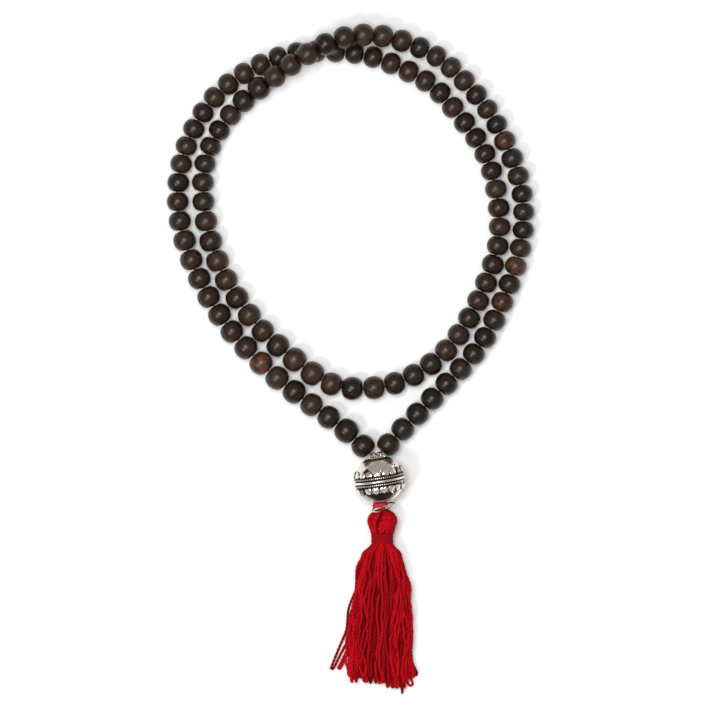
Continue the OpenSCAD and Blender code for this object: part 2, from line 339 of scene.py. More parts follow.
# Gap number, then x, y and the rise above the table's course, in metres
ROUTE = [
    (0, 0.0075, -0.0365, 0.0006), (1, 0.002, -0.0305, 0), (2, -0.005, -0.025, 0),
    (4, -0.018, -0.0155, 0), (6, -0.031, -0.005, 0), (9, -0.0475, 0.013, 0),
    (12, -0.059, 0.0335, 0), (15, -0.0654, 0.0555, 0), (18, -0.0635, 0.077, 0),
    (21, -0.054, 0.096, 0), (23, -0.0435, 0.106, 0), (26, -0.024, 0.115, 0),
    (29, -0.002, 0.116, 0), (31, 0.012, 0.113, 0), (34, 0.0315, 0.103, 0),
    (36, 0.041, 0.092, 0), (38, 0.0495, 0.0805, 0), (40, 0.0545, 0.0675, 0),
    (43, 0.0565, 0.046, 0), (46, 0.05, 0.025, 0), (49, 0.0389, 0.0056, 0),
    (51, 0.0274, -0.0048, 0), (53, 0.013, -0.011, 0), (55, -0.0035, -0.0115, 0),
    (56, -0.011, -0.0085, 0), (58, -0.0245, 0.002, 0), (60, -0.036, 0.013, 0),
    (63, -0.049, 0.033, 0), (66, -0.0555, 0.0555, 0), (69, -0.0545, 0.077, 0),
    (72, -0.0433, 0.0948, 0.0001), (74, -0.0315, 0.1043, 0.0041), (76, -0.0195, 0.1127, 0.0078),
    (78, -0.006, 0.1202, 0.0078), (80, 0.0085, 0.1225, 0.0032), (82, 0.023, 0.119, 0),
    (84, 0.0355, 0.1125, 0), (87, 0.05, 0.097, 0), (89, 0.057, 0.0855, 0),
    (92, 0.0646, 0.0655, 0), (95, 0.0652, 0.045, 0), (98, 0.059, 0.0245, 0),
    (101, 0.0491, 0.0044, 0), (104, 0.0337, -0.0127, 0), (107, 0.017, -0.03, 0),
    (108, 0.0118, -0.0358, 0.0006),
]
BEADS = 108
BEAD_GAP = 0.15 * MM
# A bead of the usual length has the usual diameter, and longer beads are wider in proportion to BEAD_GROWTH
BEAD_LENGTH = 7.0 * MM
BEAD_DIAMETER = 8.3 * MM
BEAD_GROWTH = 0.6
ROWS = 12


def route_points():
    """The middle of every gap between beads, and each bead's radius and length."""
    place = [np.array(row[1:]) for row in ROUTE]
    gap = [row[0] for row in ROUTE]
    last = len(ROUTE) - 1

    def slope(k):
        a, b = max(k - 1, 0), min(k + 1, last)
        return (place[b] - place[a]) / (gap[b] - gap[a])

    flat, k = [], 0
    for i in range(BEADS + 1):
        while k < last - 1 and i > gap[k + 1]:
            k += 1
        run = gap[k + 1] - gap[k]
        t = (i - gap[k]) / run
        flat.append(
            (2 * t**3 - 3 * t**2 + 1) * place[k] + (t**3 - 2 * t**2 + t) * run * slope(k)
            + (3 * t**2 - 2 * t**3) * place[k + 1] + (t**3 - t**2) * run * slope(k + 1)
        )

    def radius(length):
        return (BEAD_DIAMETER + BEAD_GROWTH * (length - BEAD_LENGTH)) / 2

    def bead_lengths(points):
        return [np.linalg.norm(b - a) - BEAD_GAP for a, b in zip(points, points[1:])]

    resting = [radius(length) for length in bead_lengths(flat)]
    gaps = [
        np.array([x, y, max(z, 0) + max(resting[max(i - 1, 0)], resting[min(i, BEADS - 1)])])
        for i, (x, y, z) in enumerate(flat)
    ]
    lengths = bead_lengths(gaps)
    return gaps, [radius(length) for length in lengths], lengths


GAPS, BEAD_R, BEAD_LEN = route_points()

# ---- Workshop helpers ----


def only(obj):
    bpy.ops.object.select_all(action="DESELECT")
    obj.select_set(True)
    bpy.context.view_layer.objects.active = obj


def pick(obj, mode, test):
    """In edit mode, selects the corners, edges or faces that pass a test."""
    bpy.ops.mesh.select_mode(type=mode)
    bpy.ops.mesh.select_all(action="DESELECT")
    bm = bmesh.from_edit_mesh(obj.data)
    parts = {"VERT": bm.verts, "EDGE": bm.edges, "FACE": bm.faces}[mode]
    for part in parts:
        part.select_set(bool(test(part)))
    bm.select_flush_mode()
    bmesh.update_edit_mesh(obj.data)


def tidy_mesh(obj, merge=1e-5):
    """Merges doubled corners and turns every face outwards."""
    only(obj)
    bpy.ops.object.mode_set(mode="EDIT")
    bpy.ops.mesh.select_all(action="SELECT")
    bpy.ops.mesh.remove_doubles(threshold=merge)
    bpy.ops.mesh.normals_make_consistent(inside=False)
    bpy.ops.object.mode_set(mode="OBJECT")
    bpy.ops.object.shade_smooth()


def turned(name, outline, sides):
    """Turns an outline of (radius, height) corners round the Z axis, one extruded ring at a time."""
    radius, height = outline[0]
    bpy.ops.object.select_all(action="DESELECT")
    bpy.ops.mesh.primitive_circle_add(vertices=sides, radius=radius, location=(0, 0, height))
    obj = bpy.context.object
    obj.name = name
    bpy.ops.object.transform_apply(location=True, rotation=False, scale=False)
    bpy.ops.object.mode_set(mode="EDIT")
    bpy.ops.mesh.select_all(action="SELECT")
    for r, z in outline[1:]:
        bpy.ops.mesh.extrude_region_move(TRANSFORM_OT_translate={"value": (0, 0, z - height)})
        bpy.ops.transform.resize(value=(r / radius, r / radius, 1))
        radius, height = r, z
    bpy.ops.object.mode_set(mode="OBJECT")
    return obj


def put_mask(obj, name, values):
    field = obj.data.attributes.get(name) or obj.data.attributes.new(name, "FLOAT", "POINT")
    field.data.foreach_set("value", np.asarray(values, np.float32))


def corners(obj):
    co = np.zeros(len(obj.data.vertices) * 3)
    obj.data.vertices.foreach_get("co", co)
    return co.reshape(-1, 3)


def move_corners(obj, co):
    obj.data.vertices.foreach_set("co", np.asarray(co, float).ravel())
    obj.data.update()


def copy_of(obj, matrix, name):
    """A copy with its own mesh, set in place."""
    mesh = obj.data.copy()
    mesh.transform(matrix)
    twin = bpy.data.objects.new(name, mesh)
    bpy.context.scene.collection.objects.link(twin)
    return twin


def join(pieces, name):
    bpy.ops.object.select_all(action="DESELECT")
    for piece in pieces:
        piece.select_set(True)
    bpy.context.view_layer.objects.active = pieces[0]
    if len(pieces) > 1:
        bpy.ops.object.join()
    obj = bpy.context.object
    obj.name = name
    obj.data.name = name
    return obj


def discard(obj):
    bpy.data.objects.remove(obj)


def ball(segments, rings, radius=1):
    bpy.ops.object.select_all(action="DESELECT")
    bpy.ops.mesh.primitive_uv_sphere_add(segments=segments, ring_count=rings, radius=radius)
    return bpy.context.object


def torus(major, minor, around, across):
    bpy.ops.object.select_all(action="DESELECT")
    bpy.ops.mesh.primitive_torus_add(
        major_radius=major, minor_radius=minor, major_segments=around, minor_segments=across
    )
    return bpy.context.object


def silver_grain(segments, rings, radius, dark):
    """A small smooth ball of silver, tarnished evenly all over."""
    obj = ball(segments, rings, radius)
    obj.data.shade_smooth()
    put_mask(obj, "tarnish_and_shade", np.full(len(obj.data.vertices), dark))
    return obj


def winding(turns, count):
    """Angles along a number of turns."""
    return np.linspace(0, 2 * math.pi * turns, count)


def fit(obj, material, body, nodes):
    """Gives a finished piece its material, and sets it on its body in place of its CAD nodes."""
    obj.data.materials.clear()
    obj.data.materials.append(material)
    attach(obj, body)
    if nodes:
        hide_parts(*nodes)


# ---- Wooden beads ----


def turned_bead():
    """One bead along Z, one unit in radius and in half length: turned, drilled, and its rims broken."""
    bead = ball(32, 22)
    bpy.ops.object.mode_set(mode="EDIT")
    pick(bead, "VERT", lambda v: abs(v.co.z) > 0.999)
    bpy.ops.mesh.delete(type="VERT")
    pick(bead, "EDGE", lambda e: e.is_boundary)
    bpy.ops.mesh.bridge_edge_loops()
    pick(bead, "EDGE", lambda e: all(abs(v.co.z) > 0.98 and v.co.xy.length < 0.18 for v in e.verts))
    bpy.ops.mesh.bevel(offset=0.035, segments=2, affect="EDGES")
    bpy.ops.object.mode_set(mode="OBJECT")
    co = corners(bead)
    around = np.linalg.norm(co[:, :2], axis=1)
    # The ends are shallow cones, so that neighbours clear each other where the strand folds
    end_slope, roundness, crispness = 0.15, 1.145, 24
    face = 1 - end_slope * around
    curve = roundness * np.abs(co[:, 2])
    height = -np.log(np.exp(-crispness * curve) + np.exp(-crispness * face)) / crispness
    co[:, 2] = np.sign(co[:, 2]) * height
    co[around > 0.9999, 2] = 0
    move_corners(bead, co)
    tidy_mesh(bead, 1e-4)
    return bead


def bead_frame(a, b, turn):
    """Axes of a bead whose hole runs from a to b, turned on the cord by some angle."""
    along = (b - a) / np.linalg.norm(b - a)
    side = np.cross(UP, along)
    side /= np.linalg.norm(side)
    lift = np.cross(along, side)
    x = math.cos(turn) * side + math.sin(turn) * lift
    return x, np.cross(along, x), along


# How much reddish wood shows on a few of the beads
REDDISH = {7: 1.0, 90: 0.5, 97: 0.6, 99: 0.45, 58: 0.35, 33: 0.3}
TURNING_BEADS = (1, 2, 3, 4, 5, 104, 105, 106, 107, 108)


def string_beads():
    pattern = turned_bead()
    made = {}
    for i in range(1, BEADS + 1):
        a, b = GAPS[i - 1], GAPS[i]
        x, y, z = bead_frame(a, b, rng.uniform(0, 2 * math.pi))
        r, half = BEAD_R[i - 1], BEAD_LEN[i - 1] / 2
        across = np.column_stack([x * r, y * r, z * half, (a + b) / 2])
        matrix = Matrix([*across.tolist(), [0, 0, 0, 1]])
        bead = copy_of(pattern, matrix, f"bead_{i}")
        local = corners(pattern) * np.array([r, r, half]) / MM
        tilt = np.array(Matrix.Rotation(rng.uniform(0, 1.3), 3, "X"))
        local = local @ tilt.T + np.array([rng.uniform(0, 60) for _ in range(3)])
        field = bead.data.attributes.new("bead_at", "FLOAT_VECTOR", "POINT")
        field.data.foreach_set("vector", local.astype(np.float32).ravel())
        put_mask(bead, "bead_tone", np.full(len(local), rng.random()))
        put_mask(bead, "bead_patch", np.full(len(local), REDDISH.get(i, 0)))
        made[i] = bead
    discard(pattern)
    groups = {"lower": [*range(6, 10), *range(50, 61), 102, 103], "top": [*range(22, 38), *range(73, 90)]}
    for k in range(1, ROWS + 1):
        groups[f"row_{k}"] = [9 + k, 60 + k, 50 - k, 102 - k]
    for name, members in groups.items():
        piece = join([made[i] for i in members], f"wood_{name}")
        fit(piece, WOOD, f"strand_{name}", [f"beads_{name}"])
    for i in TURNING_BEADS:
        made[i].name = f"wood_bead_{i}"
        fit(made[i], WOOD, f"bead_{i}", [f"bead_{i}"])


# ---- Yarn and cord ----


def smooth_path(points, step):
    """A path through the points on a smooth curve, with evenly spaced stations."""
    p = np.array(points, float)
    if len(p) > 2:
        ends = np.vstack([2 * p[0] - p[1], p, 2 * p[-1] - p[-2]])
        fine = []
        for k in range(1, len(p)):
            a, b, c, d = ends[k - 1 : k + 3]
            for t in np.linspace(0, 1, 8, endpoint=False):
                square, cube = 2 * a - 5 * b + 4 * c - d, 3 * b - a - 3 * c + d
                fine.append(0.5 * (2 * b + (c - a) * t + square * t**2 + cube * t**3))
        p = np.array(fine + [p[-1]])
    reach = np.concatenate([[0], np.cumsum(np.linalg.norm(np.diff(p, axis=0), axis=1))])
    stations = np.linspace(0, reach[-1], max(3, round(reach[-1] / step) + 1))
    return np.column_stack([np.interp(stations, reach, p[:, k]) for k in range(3)])


# Outlines of a yarn: how far out each of its eight corners is. The low corners are the grooves between plies.
PLY_SECTION = np.array([1.0, 0.93, 0.76, 0.93] * 2)
SOFT_SECTION = np.array([1.0, 0.97, 0.9, 0.97] * 2)
ROUND_SECTION = np.array([1.0, 0.97] * 4)


def spun(name, paths, thickness, step=0.35, pitch=2.8, section=PLY_SECTION, tones_and_shade=None):
    """Twisted yarns swept along paths. Each is a closed tube whose plies wind round it.
    The paths are in metres, thickness, step and pitch in millimetres."""
    sides = len(section)
    # How deep in a groove each corner lies, for the painted shade there.
    groove_shade = 1 - (section - section.min()) / (section.max() - section.min())
    verts, faces, uvs, groove_shades, tone_and_shade_of = [], [], [], [], []
    count = 0
    for n, path in enumerate(paths):
        p = smooth_path(path, step * MM)
        size = thickness[n] if isinstance(thickness, list) else thickness
        tangent = np.gradient(p, axis=0)
        tangent /= np.linalg.norm(tangent, axis=1)[:, None]
        side = np.cross(tangent[0], UP if abs(tangent[0][2]) < 0.9 else np.array([1.0, 0, 0]))
        side /= np.linalg.norm(side)
        start = rng.uniform(0, 2 * math.pi)
        reach = 0.0
        rings = len(p)
        for i in range(rings):
            side = side - (side @ tangent[i]) * tangent[i]
            side /= np.linalg.norm(side)
            lift = np.cross(tangent[i], side)
            if i:
                reach += np.linalg.norm(p[i] - p[i - 1]) / MM
            angles = start + 2 * math.pi * (reach / pitch + np.arange(sides) / sides)
            taper = min(1.0, 0.55 + 0.45 * min(i, rings - 1 - i))
            radius = size / 2 * MM * section * taper
            verts.append(p[i] + np.outer(radius * np.cos(angles), side) + np.outer(radius * np.sin(angles), lift))
            groove_shades.append(groove_shade)
            if i:
                a, b = count + (i - 1) * sides, count + i * sides
                s0, s1 = reach - step, reach
                for k in range(sides):
                    j = (k + 1) % sides
                    low, high = k / sides, (k + 1) / sides
                    faces.append((a + k, a + j, b + j, b + k))
                    uvs.append(((s0, low), (s0, high), (s1, high), (s1, low)))
        end = count + (rings - 1) * sides
        faces.append(tuple(range(count + sides - 1, count - 1, -1)))
        faces.append(tuple(range(end, end + sides)))
        uvs += [((0, 0),) * sides] * 2
        count += rings * sides
        tone_and_shade_of.append(np.full(rings * sides, tones_and_shade[n] if tones_and_shade else rng.random()))
    mesh = bpy.data.meshes.new(name)
    mesh.from_pydata(np.concatenate(verts).tolist(), [], faces)
    layer = mesh.uv_layers.new(name="strand")
    layer.data.foreach_set("uv", np.array([c for face in uvs for c in face], np.float32).ravel())
    obj = bpy.data.objects.new(name, mesh)
    bpy.context.scene.collection.objects.link(obj)
    put_mask(obj, "groove_shade", np.concatenate(groove_shades))
    put_mask(obj, "yarn_tone_and_shade", np.concatenate(tone_and_shade_of))
    mesh.shade_smooth()
    return obj


def bead_middle(i):
    return (GAPS[i - 1] + GAPS[i]) / 2


def strung(first, final):
    """Cord from the middle of one bead to the middle of another."""
    step = 1 if final > first else -1
    inside = [GAPS[i if step > 0 else i - 1] for i in range(first, final, step)]
    return [bead_middle(first), *inside, bead_middle(final)]


# The fold lines lean a little, and a short length of cord on both sides of each is left on no body
CORD = 0.6


def cord_piece(name, runs, nodes, body=None):
    """Cord that rides one body, or is left on no body across the fold, from a start to an end."""
    piece = spun(name, runs, CORD, step=0.5, pitch=2.6)
    piece.data.materials.append(CORD_COTTON_PAINTED_SHADE)
    if body:
        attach(piece, body)
    else:
        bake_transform(piece)
    if nodes:
        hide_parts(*nodes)


def string_cord():
    """The cord through the beads. Where the strand folds, a short length across the fold is left on no body."""
    cord_piece("cord_in_lower_bend", [strung(4, 9), strung(50, 60), strung(102, 106)], ["cord_lower"], "strand_lower")
    cord_piece("cord_in_upper_bend", [strung(22, 37), strung(73, 89)], ["cord_top"], "strand_top")
    strand = ["strand_lower", *(f"strand_row_{k}" for k in range(1, ROWS + 1)), "strand_top"]
    for k, (low, high) in enumerate(zip(strand, strand[1:])):
        runs = [strung(9 + k, 10 + k), strung(60 + k, 61 + k), strung(50 - k, 49 - k), strung(102 - k, 101 - k)]
        cord_piece(f"cord_at_fold_{k + 1}", runs, [f"cord_row_{k}"] if k else [])
    for name, bodies, runs, gaps in (
        ("front", ("strand_lower", "strand_front"), [strung(4, 3), strung(106, 107)], (3, 106)),
        ("yoke", ("strand_front", "strand_yoke"), [strung(2, 1), strung(107, 108)], (1, 107)),
    ):
        cord_piece(f"cord_at_{name}_fold", runs, [])
    cord_piece("cord_in_front_beads", [strung(3, 2)], ["cord_front"], "strand_front")


# ---- Guru bead ----

GURU_CENTRE = np.array([0.011, -0.0461, 0.00972])
GURU_R = 9.2
SHELL = 0.8
KNOT_HEIGHT = 9.6
GURU_MATRIX = (
    Matrix.Translation(GURU_CENTRE)
    @ Matrix.Rotation(math.radians(8.5), 4, "Z")
    @ Matrix.Rotation(math.radians(3 - 90), 4, "X")
    @ Matrix.Scale(MM, 4)
)
HEARTS = 18
TWISTS = 76
COLLAR_LOOPS = 9


def guru_point(x, y, z):
    """A place in the guru bead's own millimetres, as the frame has it."""
    return np.array(GURU_MATRIX @ Vector((x, y, z)))


KNOT = guru_point(0, 0, KNOT_HEIGHT)


def guru_piece(obj, nodes, material=BRIGHT_SILVER):
    obj.data.transform(GURU_MATRIX)
    obj.data.update()
    fit(obj, material, "guru", nodes)


def ring_angles(co):
    """How far round the axis each corner is."""
    return np.arctan2(co[:, 1], co[:, 0])


def arc(radius, low, high, steps):
    """(radius, height) corners on a ball between two angles above its equator, in degrees."""
    return [
        (radius * math.cos(math.radians(t)), radius * math.sin(math.radians(t)))
        for t in np.linspace(low, high, steps)
    ]


def guru_dome(name, angles, recess, nodes):
    """One raised half of the ball: outer skin, edge at the hole, and inner skin.
    Each recess is the height, width and depth of a dark line round it."""
    low, high = angles
    outer = arc(GURU_R, low, high, 26)
    inner = arc(GURU_R - SHELL, high, low, 14)
    dome = turned(name, [*outer, *inner, outer[0]], 96)
    tidy_mesh(dome)
    co = corners(dome)
    dark = np.zeros(len(co))
    for place, width, depth in recess:
        dark = np.maximum(dark, depth * np.clip(1.35 - np.abs(co[:, 2] - place) / width, 0, 1))
    # Painted light: the lower dome is darkened where it faces up and on its left as a painted dark reflection, and its
    # dark line fades to the right, which leaves a bright crescent of painted reflection there.
    if name == "guru_lower_dome":
        front = np.clip((-co[:, 1] / GURU_R - 0.3) * 2.6, 0, 0.95)
        left = np.clip(-co[:, 0] / GURU_R * 0.9, 0, 0.5)
        dark = np.maximum(dark * np.clip(1.1 - co[:, 0] / GURU_R, 0.3, 1), np.maximum(front, left))
    dark[np.linalg.norm(co, axis=1) < GURU_R - 0.3] = 1
    put_mask(dome, "tarnish_and_shade", dark)
    guru_piece(dome, nodes, OLD_SILVER)


def heart_granule():
    """A domed heart with its tip at +Y, nearly flat underneath."""
    heart = ball(20, 12)
    x, y, z = corners(heart).T
    tip = np.clip(y, 0, 1)
    wide = x * (1 - 0.55 * tip**1.8)
    cleft = 0.42 * np.exp(-((x / 0.3) ** 2)) * np.clip(-y, 0, 1)
    tall = y * (1 + 0.24 * tip**2) + cleft
    high = np.where(z > 0, 0.62 * np.abs(z) ** 0.9, 0.25 * z)
    move_corners(heart, np.column_stack([wide * 1.5, tall * 1.36, high * 0.95]))
    tidy_mesh(heart, 1e-4)
    put_mask(heart, "tarnish_and_shade", np.clip(0.95 - corners(heart)[:, 2] * 2.3, 0, 1))
    return heart


def on_ball(angle, height, lift=0.0, turn=0.0, scale=(1, 1, 1)):
    """Stands something on the ball at an angle round it, its height, and Y pointing up the axis."""
    tilt = math.asin(height / GURU_R)
    return (
        Matrix.Rotation(angle, 4, "Z")
        @ Matrix.Rotation(-tilt, 4, "Y")
        @ Matrix.Translation((GURU_R + lift, 0, 0))
        @ Matrix.Rotation(math.pi / 2, 4, "Z")
        @ Matrix.Rotation(math.pi / 2, 4, "X")
        @ Matrix.Rotation(turn, 4, "Z")
        @ Matrix.Diagonal((*scale, 1))
    )


def heart_row(name, height, tip_down, nodes, start):
    """Hearts side by side round the ball, with a seed of silver between each two."""
    pattern, seed = heart_granule(), silver_grain(12, 8, 0.3, 0.25)
    seed_height = height + (-1.05 if tip_down else 1.05)
    pieces = []
    for k in range(HEARTS):
        angle = start + 2 * math.pi * k / HEARTS
        turn = (math.pi if tip_down else 0) + rng.uniform(-0.12, 0.12)
        scale = (rng.uniform(0.93, 1.06), rng.uniform(0.92, 1.08), rng.uniform(0.9, 1.15))
        one = copy_of(pattern, on_ball(angle, height, 0.08, turn, scale), f"{name}_{k}")
        shade = rng.choice((0, 0, 0.1, 0.35, 0.6))
        mask = np.clip(np.array([d.value for d in one.data.attributes["tarnish_and_shade"].data]) + shade, 0, 1)
        put_mask(one, "tarnish_and_shade", mask)
        pieces.append(one)
        between = angle + math.pi / HEARTS
        pieces.append(copy_of(seed, on_ball(between, seed_height, 0.1), f"{name}_seed_{k}"))
    discard(pattern)
    discard(seed)
    row = join(pieces, name)
    row.data.shade_smooth()
    guru_piece(row, nodes)


def twisted_ring(name, height, nodes):
    """Two wires twisted together and laid round the ball."""
    ring_r = math.sqrt((GURU_R + 0.2) ** 2 - height**2)
    ring = torus(ring_r, 0.31, 640, 8)
    co = corners(ring)
    round_it = ring_angles(co)
    out = np.linalg.norm(co[:, :2], axis=1) - ring_r
    about = np.arctan2(co[:, 2], out)
    swell = 1.0 + 0.3 * np.cos(2 * about - TWISTS * round_it)
    reach, up = ring_r + out * swell, co[:, 2] * swell
    move_corners(ring, np.column_stack([reach * np.cos(round_it), reach * np.sin(round_it), up + height]))
    ring.name = name
    ring.data.shade_smooth()
    put_mask(ring, "tarnish_and_shade", np.clip(0.6 - 1.1 * np.cos(about - TWISTS * round_it), 0, 1.3))
    guru_piece(ring, nodes)


def ridge_band():
    """The band over the seam: a thin plain line, a dark groove, the rounded ridge, and a low foot."""
    base, top, bottom = GURU_R - 0.02, 0.72, -1.2

    def bulge(out, height, deep, tall, half_turn, count):
        turns = np.linspace(half_turn, -half_turn, count)
        return [(base + out + deep * math.cos(a), height + tall * math.sin(a)) for a in turns]

    line = bulge(0.06, 0.5, 0.12, 0.1, 1.5, 5)
    ridge = bulge(0.02, -0.3, 0.42, 0.46, 1.4, 15)
    foot = bulge(0.06, -1.0, 0.1, 0.08, 1.5, 5)
    back = [(base, bottom), (base - 0.1, bottom), (base - 0.1, top), (base, top)]
    band = turned("guru_ridge_band", [(base, top), *line, (base + 0.05, 0.28), *ridge, *foot, *back], 128)
    tidy_mesh(band)
    co = corners(band)
    out = np.linalg.norm(co[:, :2], axis=1)
    put_mask(band, "tarnish_and_shade", np.clip((base + 0.33 - out) * 7, 0, 1))
    guru_piece(band, ["guru_band"])


def wire_loop(long_r, short_r, wire):
    loop = torus(1, wire, 28, 8)
    co = corners(loop)
    round_it = ring_angles(co)
    off = np.linalg.norm(co[:, :2], axis=1) - 1
    x = (short_r + off) * np.cos(round_it)
    y = (long_r + off) * np.sin(round_it)
    move_corners(loop, np.column_stack([x, y, co[:, 2]]))
    loop.data.shade_smooth()
    put_mask(loop, "tarnish_and_shade", np.clip(0.2 - co[:, 2] / wire * 0.5, 0, 1))
    return loop


def top_collar():
    """Petals of wire round the upper hole, each with a grain of silver inside, on a dark base with a rolled rim."""
    hole, slope = (1.75, 8.2), [(2.3, 8.85), (2.9, 8.6), (3.5, 8.3), (3.6, 8.15)]
    base = turned("collar_base", [hole, (1.75, 8.95), (1.95, 9.1), (2.2, 9.05), *slope, hole], 64)
    tidy_mesh(base)
    co = corners(base)
    put_mask(base, "tarnish_and_shade", np.where(co[:, 2] > 8.92, 0.1, 1.3))
    loop, seed = wire_loop(1.12, 0.9, 0.22), silver_grain(16, 10, 0.3, 0)
    lean = Matrix.Translation((3.3, 0, 8.62)) @ Matrix.Rotation(math.radians(42), 4, "Y")
    pieces = [base]
    for k in range(COLLAR_LOOPS):
        stand = Matrix.Rotation(2 * math.pi * (k + 0.5) / COLLAR_LOOPS, 4, "Z") @ lean
        pieces.append(copy_of(loop, stand @ Matrix.Rotation(math.pi / 2, 4, "Z"), f"collar_loop_{k}"))
        pieces.append(copy_of(seed, stand @ Matrix.Translation((0.1, 0, 0.02)), f"collar_grain_{k}"))
    discard(loop)
    discard(seed)
    guru_piece(join(pieces, "guru_petal_collar"), ["guru_top_collar"])


def bottom_rim():
    inside = [(3.6, -8.0), (3.55, -8.12)]
    outside = [(3.8, -8.25), (4.1, -8.25), (4.5, -8.12), (4.65, -7.98), (4.5, -7.8), (3.6, -7.8)]
    rim = turned("guru_bottom_rim", [*inside, *outside, inside[0]], 72)
    tidy_mesh(rim)
    put_mask(rim, "tarnish_and_shade", np.full(len(rim.data.vertices), 0.45))
    guru_piece(rim, ["guru_bottom_collar"], OLD_SILVER)


def accents():
    """Three odd granules: a dark diamond, a large bright grain, and a small bright one."""
    pieces = []
    for name, angle, height, size, dark, sides in (
        ("diamond", -122, 4.15, (1.35, 1.15, 0.5), 0.95, 4),
        ("large_grain", -38, 4.6, (1.15, 0.85, 0.6), 0.0, 20),
        ("small_grain", -58, -4.9, (0.52, 0.52, 0.55), 0.0, 16),
    ):
        one = silver_grain(sides, 8, 1, dark)
        one.data.transform(on_ball(math.radians(angle), height, 0.05, 0, size))
        if name == "diamond":
            one.data.shade_flat()
        one.name = name
        pieces.append(one)
    guru_piece(join(pieces, "guru_odd_granules"), [])


def guru_bead():
    guru_dome("guru_upper_dome", (0.1, 74.5), [(1.7, 1.7, 1.0), (7.9, 0.75, 0.8)], ["guru_upper_shell"])
    guru_dome("guru_lower_dome", (-67.5, -0.1), [(-2.6, 2.2, 1.0)], ["guru_lower_shell"])
    ridge_band()
    twisted_ring("guru_upper_twist", 1.03, ["guru_upper_wire"])
    twisted_ring("guru_lower_twist", -1.5, ["guru_lower_wire"])
    heart_row("guru_upper_heart_row", 2.65, False, ["guru_upper_hearts"], math.radians(6))
    heart_row("guru_lower_heart_row", -3.25, True, ["guru_lower_hearts"], math.radians(-3))
    top_collar()
    bottom_rim()
    accents()


# ---- Threads at the guru bead ----


def cord_to_guru():
    """Both ends of the cord, from the last beads to the knot and on through the guru bead."""
    legs = [
        [bead_middle(1), GAPS[0], (0.0084, -0.0362, 0.0066), KNOT + np.array([-0.4, 0.6, -0.9]) * MM],
        [bead_middle(BEADS), GAPS[BEADS], (0.0112, -0.0359, 0.0068), KNOT + np.array([0.5, 0.6, -0.9]) * MM],
    ]
    cord_piece("cord_ends_to_guru", legs, ["cord_yoke"], "strand_yoke")

    turns = [
        KNOT + np.array([0.3 * math.cos(t), 0.25 * math.sin(t), 0.3 * math.sin(0.5 * t + 0.4)]) * MM
        for t in winding(1.6, 40)
    ]
    knot = spun("cord_knot", [turns], CORD, step=0.25, pitch=2)
    fit(knot, CORD_COTTON_PAINTED_SHADE, "guru_hitch", ["yoke_knot"])

    pair = [[guru_point(x, 0, z) for z in np.linspace(9.3, -8.3, 8)] for x in (-0.5, 0.5)]
    through = spun("cord_pair_in_guru", pair, 0.95, step=0.5, pitch=2.6)
    fit(through, CORD_COTTON_PAINTED_SHADE, "pendant", ["pendant_cord"])


def thread_wrap():
    """Two layers of thread wound under the guru bead, with a loose end at the left."""
    wound, second = [], []
    turns = 2.7
    for t in winding(turns, 90):
        share = t / (2 * math.pi * turns)
        grow = 2.35 + 0.12 * math.sin(1.7 * t)
        wound.append(guru_point(-1.2 + grow * math.cos(t + 0.6), grow * math.sin(t + 0.6), -8.95 - share))
    turns = 1.6
    for t in winding(turns, 60):
        share = t / (2 * math.pi * turns)
        turn = 2.2 - t
        second.append(guru_point(-1.1 + 1.75 * math.cos(turn), 1.75 * math.sin(turn), -9.75 + 0.75 * share))
    end = [guru_point(-3.2, -0.6, -9.3), guru_point(-3.6, -1.0, -9.7), guru_point(-3.75, -1.2, -10.1)]
    wrap = spun("thread_windings", [wound, second, end], [1.05, 0.95, 0.6], step=0.3, pitch=3)
    fit(wrap, WRAP_COTTON, "pendant", ["thread_wrap"])


def silver_ring():
    ring = torus(4.4, 0.25, 96, 12)
    ring.name = "silver_ring"
    ring.data.shade_smooth()
    put_mask(ring, "tarnish_and_shade", 0.6 + 0.4 * np.sin(3 * ring_angles(corners(ring))))
    ring.data.transform(
        Matrix.Translation((0.0125, -0.0566, 0.0092))
        @ Matrix.Rotation(math.radians(18), 4, "Z")
        @ Matrix.Rotation(math.radians(-76), 4, "X")
        @ Matrix.Scale(MM, 4)
    )
    fit(ring, BRIGHT_SILVER, "pendant", ["rim_ring"])


def tassel_link():
    link = [
        [(0.0118, -0.0564, 0.0093), (0.012, -0.0573, 0.0088), (0.0121, -0.0582, 0.0082)],
        [(0.0128, -0.0564, 0.0091), (0.0128, -0.0573, 0.0087), (0.0127, -0.0582, 0.0081)],
    ]
    fit(spun("tassel_link_yarns", link, 0.85, step=0.3), WRAP_COTTON, "tassel_link", ["tassel_loop"])


# ---- Tassel ----

HEAD = np.array([0.012, -0.063, 0.0054])
NECK_TOP = -0.0667
NECK_END = -0.0706
NECK_X, NECK_Z = 0.012, 0.005

# Skirt outline: distance below the binding, middle x, half width, lowest and highest z, in millimetres
SKIRT = np.array([
    (0, 12, 3.8, 1.0, 8.8), (1, 12, 4.9, 0.8, 9.2), (3.4, 11.8, 7.5, 0.5, 9.2), (7, 11.6, 8.8, 0.3, 8.8),
    (13.4, 11.6, 10.2, 0.3, 8), (21.4, 11.8, 11.4, 0.3, 7.2), (29.4, 11.5, 12.2, 0.3, 6.6),
    (37.4, 10.8, 12.5, 0.3, 6), (44.4, 10.6, 12.8, 0.3, 5.4), (49.4, 11.0, 12.8, 0.3, 4.8),
    (53.4, 12.0, 12.0, 0.3, 4.2), (55.8, 13.5, 10.5, 0.4, 3.4),
])
SKIRT_LENGTH = 55.8
YARN = 1.14
YARN_REST = 0.55
# Where the hem ends: x, and distance below the binding, in millimetres
HEM = np.array([(-3, 50.6), (-0.2, 52.4), (5.5, 53.0), (9, 52.0), (12.2, 53.6), (16, 55.9), (20.7, 55.4), (24.5, 52.4)])
